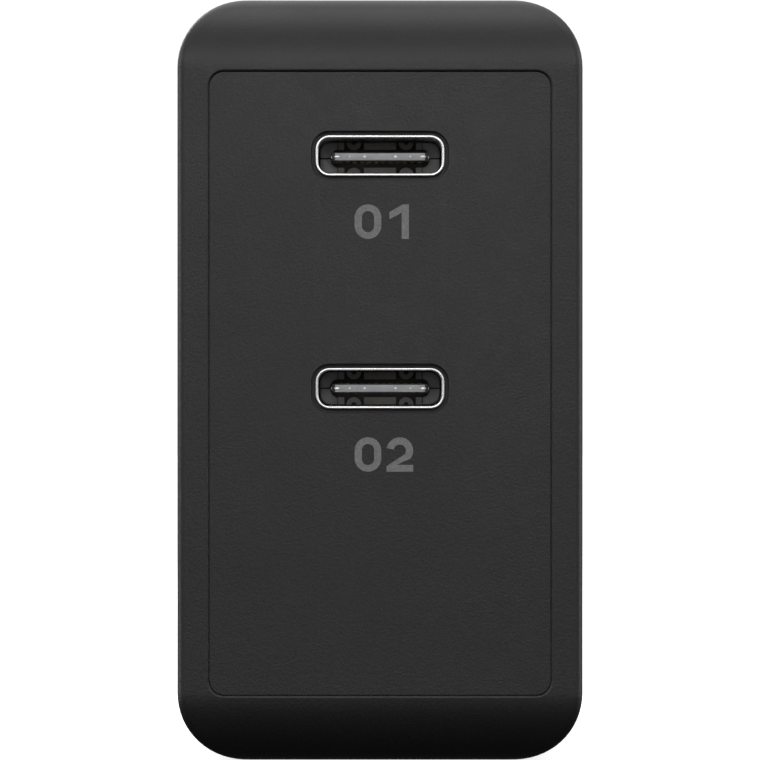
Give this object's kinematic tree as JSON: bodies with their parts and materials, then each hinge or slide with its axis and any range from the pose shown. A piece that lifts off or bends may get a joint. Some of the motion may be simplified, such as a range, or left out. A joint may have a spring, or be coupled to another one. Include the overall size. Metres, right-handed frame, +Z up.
{
  "type": "usb wall charger",
  "caption": "Upright black wall charger with stacked USB-C ports in a recessed front panel and a folding flat-blade mains plug at the rear",
  "frame": {"origin": "middle of the folding plug's rear face, between the blades, which meets the outlet", "axes": "+X to the right seen from the ports, +Y out of the rear face into the outlet, along the blades, +Z up"},
  "size_m": [0.028, 0.073, 0.0531],
  "materials": {
    "housing_plastic": "fine spark-eroded black polycarbonate",
    "panel_plastic": "fine-textured black polycarbonate, a shade smoother",
    "plug_plastic": "black glass-filled nylon",
    "blade_plating": "nickel-plated brass",
    "spring_bronze": "phosphor bronze strip",
    "spring_steel": "zinc-plated steel",
    "port_steel": "nickel-plated stainless steel",
    "port_moulding": "black liquid-crystal polymer",
    "board_laminate": "green solder mask on glass laminate",
    "insulating_film": "cream polyester film",
    "moulded_epoxy": "black moulding compound",
    "film_capacitor_box": "yellow box",
    "ferrite": "sintered dark grey ferrite",
    "fuse_body": "brown moulded body",
    "blue_disc": "blue epoxy dip",
    "green_disc": "dark green epoxy dip",
    "winding_tape": "yellow polyester tape over copper wire",
    "wire_red": "red insulation",
    "wire_white": "white insulation",
    "capacitor_sleeve": "dark shrink sleeve",
    "capacitor_can": "bare aluminium can",
    "copper_wire": "enamelled copper",
    "thermal_pad": "grey silicone",
    "spreader_aluminium": "rolled sheet"
  },
  "bodies": {
    "charger_body": {"board_header": "moulded_epoxy", "bridge_rectifier": "moulded_epoxy", "bulk_capacitor_lower": "capacitor_sleeve", "bulk_capacitor_upper": "capacitor_sleeve", "choke_core": "ferrite", "choke_winding_left": "copper_wire", "choke_winding_right": "copper_wire", "contact_spring_left": "spring_bronze", "contact_spring_right": "spring_bronze", "controller_chip": "moulded_epoxy", "detent_spring": "spring_steel", "front_panel": "panel_plastic", "fuse": "fuse_body", "heat_spreader": "spreader_aluminium", "housing_sleeve": "housing_plastic", "insulation_sheet": "insulating_film", "main_board": "board_laminate", "mains_wire_left": "wire_red", "mains_wire_right": "wire_white", "optocoupler": "moulded_epoxy", "output_capacitor_lower": "capacitor_can", "output_capacitor_upper": "capacitor_can", "output_inductor_lower": "ferrite", "output_inductor_upper": "ferrite", "pivot_retainer": "plug_plastic", "port_board": "board_laminate", "port_controller_lower": "moulded_epoxy", "port_controller_upper": "moulded_epoxy", "port_insulator_lower": "port_moulding", "port_insulator_upper": "port_moulding", "port_midplate_lower": "port_steel", "port_midplate_upper": "port_steel", "port_shell_lower": "port_steel", "port_shell_upper": "port_steel", "power_switch": "moulded_epoxy", "rear_cover": "housing_plastic", "retainer_screw_lower": "spring_steel", "retainer_screw_upper": "spring_steel", "sync_rectifier": "moulded_epoxy", "thermal_pad": "thermal_pad", "thermistor": "green_disc", "transformer_bobbin": "moulded_epoxy", "transformer_core_lower": "ferrite", "transformer_core_upper": "ferrite", "transformer_winding": "winding_tape", "x_capacitor": "film_capacitor_box", "y_capacitor": "blue_disc"},
    "plug_blades": {"plug_rotor": "plug_plastic", "blade_left": "blade_plating", "blade_right": "blade_plating"}
  },
  "joints": [
    {"name": "plug_fold", "type": "hinge", "parent": "charger_body", "child": "plug_blades", "pos_m": [0, -0.004, 0], "axis": [-1, 0, 0], "range_deg": [0, 90]}
  ]
}
